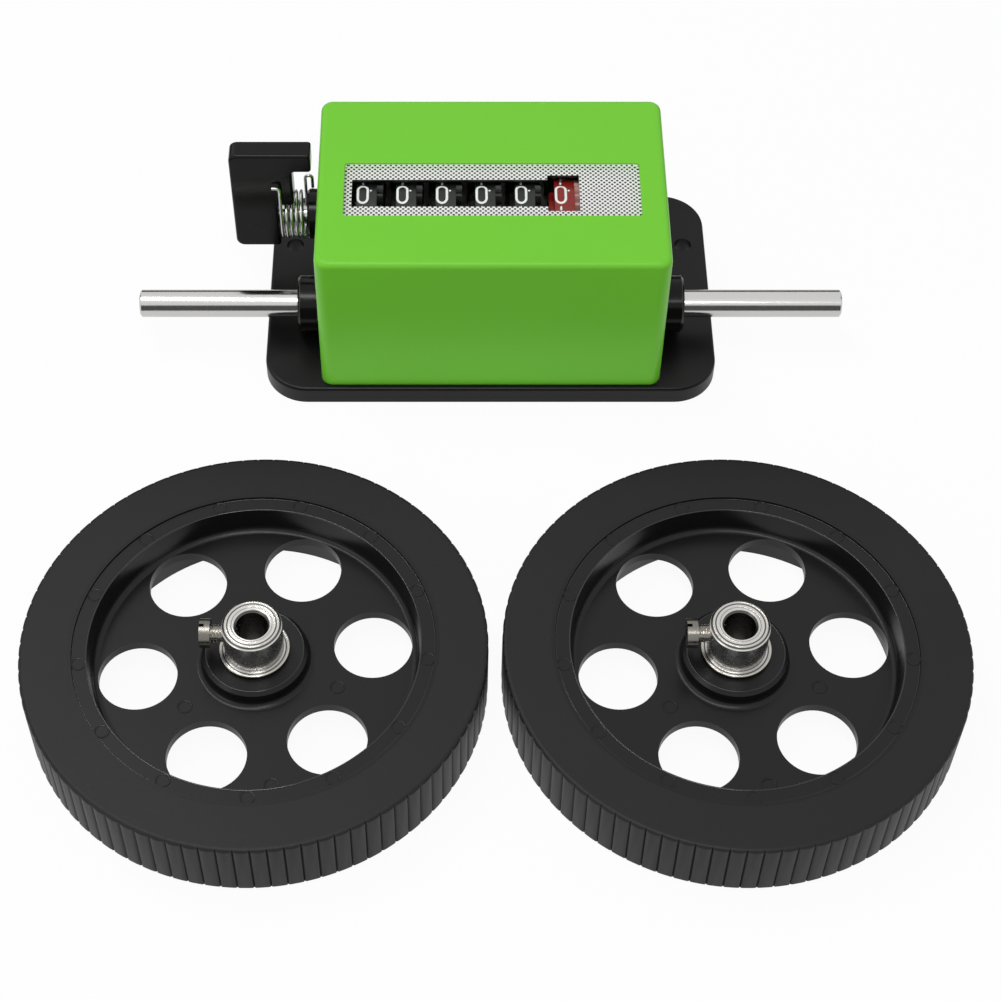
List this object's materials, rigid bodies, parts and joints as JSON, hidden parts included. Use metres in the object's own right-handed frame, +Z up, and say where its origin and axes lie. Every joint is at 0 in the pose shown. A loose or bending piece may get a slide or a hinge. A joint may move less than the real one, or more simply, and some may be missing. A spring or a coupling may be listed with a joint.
{
  "type": "cable length counter",
  "caption": "Bench cable length counter: housing with a number window, through shaft, thumb reset lever and two loose measuring wheels.",
  "frame": {"origin": "centre of the four mounting holes on the underside of the base plate", "axes": "+X along the main shaft to the right, +Y to the back, +Z up"},
  "size_m": [0.2154, 0.2067, 0.049],
  "materials": {
    "base_moulding": "black moulded plastic, satin",
    "green_moulding": "green moulded plastic",
    "clear_acrylic": "clear moulded lens",
    "mask_print": "light grey mask",
    "plate_steel": "zinc plated sheet",
    "bright_steel": "ground and plated steel",
    "black_gloss": "black moulded plastic",
    "drum_black": "black number drum",
    "drum_red": "red number drum",
    "gear_white": "natural acetal",
    "brass": "turned brass",
    "spring_steel": "spring wire",
    "tyre_rubber": "moulded rubber",
    "wheel_moulding": "black moulded plastic"
  },
  "bodies": {
    "housing": {"base_plate": "base_moulding", "cover": "green_moulding", "window_lens": "clear_acrylic", "window_mask": "mask_print", "frame_left": "plate_steel", "frame_right": "plate_steel", "tie_bars": "bright_steel", "bearing_left": "black_gloss", "bearing_right": "black_gloss", "cover_screws": "bright_steel", "frame_screws": "bright_steel", "digit_axle": "bright_steel", "axle_spacers": "brass", "pinion_axle": "bright_steel", "idler_stub": "brass", "reset_bush": "black_gloss"},
    "shaft": {"main_shaft": "bright_steel", "drive_gear": "brass", "shaft_rings": "spring_steel"},
    "idler": {"idler_gear": "gear_white"},
    "reset": {"reset_lever": "black_gloss", "reset_shaft": "bright_steel", "lever_pin": "bright_steel", "reset_comb": "gear_white", "reset_spring": "spring_steel"},
    "drum_1": {"digit_drum_1": "drum_black"},
    "drum_2": {"digit_drum_2": "drum_black"},
    "drum_3": {"digit_drum_3": "drum_black"},
    "drum_4": {"digit_drum_4": "drum_black"},
    "drum_5": {"digit_drum_5": "drum_black"},
    "drum_6": {"digit_drum_6": "drum_red", "units_gear": "drum_red"},
    "pinion_1": {"transfer_pinion_1": "gear_white"},
    "pinion_2": {"transfer_pinion_2": "gear_white"},
    "pinion_3": {"transfer_pinion_3": "gear_white"},
    "pinion_4": {"transfer_pinion_4": "gear_white"},
    "pinion_5": {"transfer_pinion_5": "gear_white"},
    "wheel_set_left": {"tyre_left": "tyre_rubber", "wheel_left": "wheel_moulding", "hub_left": "bright_steel"},
    "clamp_screw_left": {"hub_screw_left": "bright_steel"},
    "wheel_set_right": {"tyre_right": "tyre_rubber", "wheel_right": "wheel_moulding", "hub_right": "bright_steel"},
    "clamp_screw_right": {"hub_screw_right": "bright_steel"}
  },
  "joints": [
    {"name": "shaft_spin", "type": "hinge", "parent": "housing", "child": "shaft", "pos_m": [0, -0.0187, 0.0138], "axis": [1, 0, 0], "continuous": true},
    {"name": "idler_spin", "type": "hinge", "parent": "housing", "child": "idler", "pos_m": [0.02415, -0.00556, 0.01509], "axis": [1, 0, 0], "continuous": true},
    {"name": "reset_turn", "type": "hinge", "parent": "housing", "child": "reset", "pos_m": [-0.066, 0.0057, 0.0215], "axis": [1, 0, 0], "range_deg": [0, 45], "stiffness_Nm_per_rad": 0.12, "springref_deg": -20.05, "deforming": ["reset_spring"]},
    {"name": "drum_1_spin", "type": "hinge", "parent": "housing", "child": "drum_1", "pos_m": [-0.0309, -0.0121, 0.0317], "axis": [1, 0, 0], "continuous": true},
    {"name": "drum_2_spin", "type": "hinge", "parent": "housing", "child": "drum_2", "pos_m": [-0.02115, -0.0121, 0.0317], "axis": [1, 0, 0], "continuous": true},
    {"name": "drum_3_spin", "type": "hinge", "parent": "housing", "child": "drum_3", "pos_m": [-0.0114, -0.0121, 0.0317], "axis": [1, 0, 0], "continuous": true},
    {"name": "drum_4_spin", "type": "hinge", "parent": "housing", "child": "drum_4", "pos_m": [-0.00165, -0.0121, 0.0317], "axis": [1, 0, 0], "continuous": true},
    {"name": "drum_5_spin", "type": "hinge", "parent": "housing", "child": "drum_5", "pos_m": [0.0081, -0.0121, 0.0317], "axis": [1, 0, 0], "continuous": true},
    {"name": "drum_6_spin", "type": "hinge", "parent": "housing", "child": "drum_6", "pos_m": [0.01785, -0.0121, 0.0317], "axis": [1, 0, 0], "continuous": true},
    {"name": "pinion_1_spin", "type": "hinge", "parent": "housing", "child": "pinion_1", "pos_m": [-0.02602, -0.0276, 0.02358], "axis": [1, 0, 0], "continuous": true},
    {"name": "pinion_2_spin", "type": "hinge", "parent": "housing", "child": "pinion_2", "pos_m": [-0.01628, -0.0276, 0.02358], "axis": [1, 0, 0], "continuous": true},
    {"name": "pinion_3_spin", "type": "hinge", "parent": "housing", "child": "pinion_3", "pos_m": [-0.00653, -0.0276, 0.02358], "axis": [1, 0, 0], "continuous": true},
    {"name": "pinion_4_spin", "type": "hinge", "parent": "housing", "child": "pinion_4", "pos_m": [0.00323, -0.0276, 0.02358], "axis": [1, 0, 0], "continuous": true},
    {"name": "pinion_5_spin", "type": "hinge", "parent": "housing", "child": "pinion_5", "pos_m": [0.01298, -0.0276, 0.02358], "axis": [1, 0, 0], "continuous": true},
    {"name": "wheel_left_lift", "type": "slide", "parent": "housing", "child": "wheel_set_left", "axis": [0, 0, 1], "range_m": [0, 0.08]},
    {"name": "clamp_left_travel", "type": "slide", "parent": "wheel_set_left", "child": "clamp_screw_left", "axis": [1, 0, 0], "range_m": [0, 0.0024]},
    {"name": "wheel_right_lift", "type": "slide", "parent": "housing", "child": "wheel_set_right", "axis": [0, 0, 1], "range_m": [0, 0.08]},
    {"name": "clamp_right_travel", "type": "slide", "parent": "wheel_set_right", "child": "clamp_screw_right", "axis": [1, 0, 0], "range_m": [0, 0.0024]}
  ],
  "couplings": [
    {"joint": "idler_spin", "follows": "shaft_spin", "ratio": -0.83333},
    {"joint": "drum_1_spin", "follows": "shaft_spin", "ratio": 0.0000033333},
    {"joint": "drum_2_spin", "follows": "shaft_spin", "ratio": 0.000033333},
    {"joint": "drum_3_spin", "follows": "shaft_spin", "ratio": 0.00033333},
    {"joint": "drum_4_spin", "follows": "shaft_spin", "ratio": 0.0033333},
    {"joint": "drum_5_spin", "follows": "shaft_spin", "ratio": 0.033333},
    {"joint": "drum_6_spin", "follows": "shaft_spin", "ratio": 0.33333},
    {"joint": "pinion_1_spin", "follows": "shaft_spin", "ratio": -0.0000083333},
    {"joint": "pinion_2_spin", "follows": "shaft_spin", "ratio": -0.000083333},
    {"joint": "pinion_3_spin", "follows": "shaft_spin", "ratio": -0.00083333},
    {"joint": "pinion_4_spin", "follows": "shaft_spin", "ratio": -0.0083333},
    {"joint": "pinion_5_spin", "follows": "shaft_spin", "ratio": -0.083333}
  ]
}
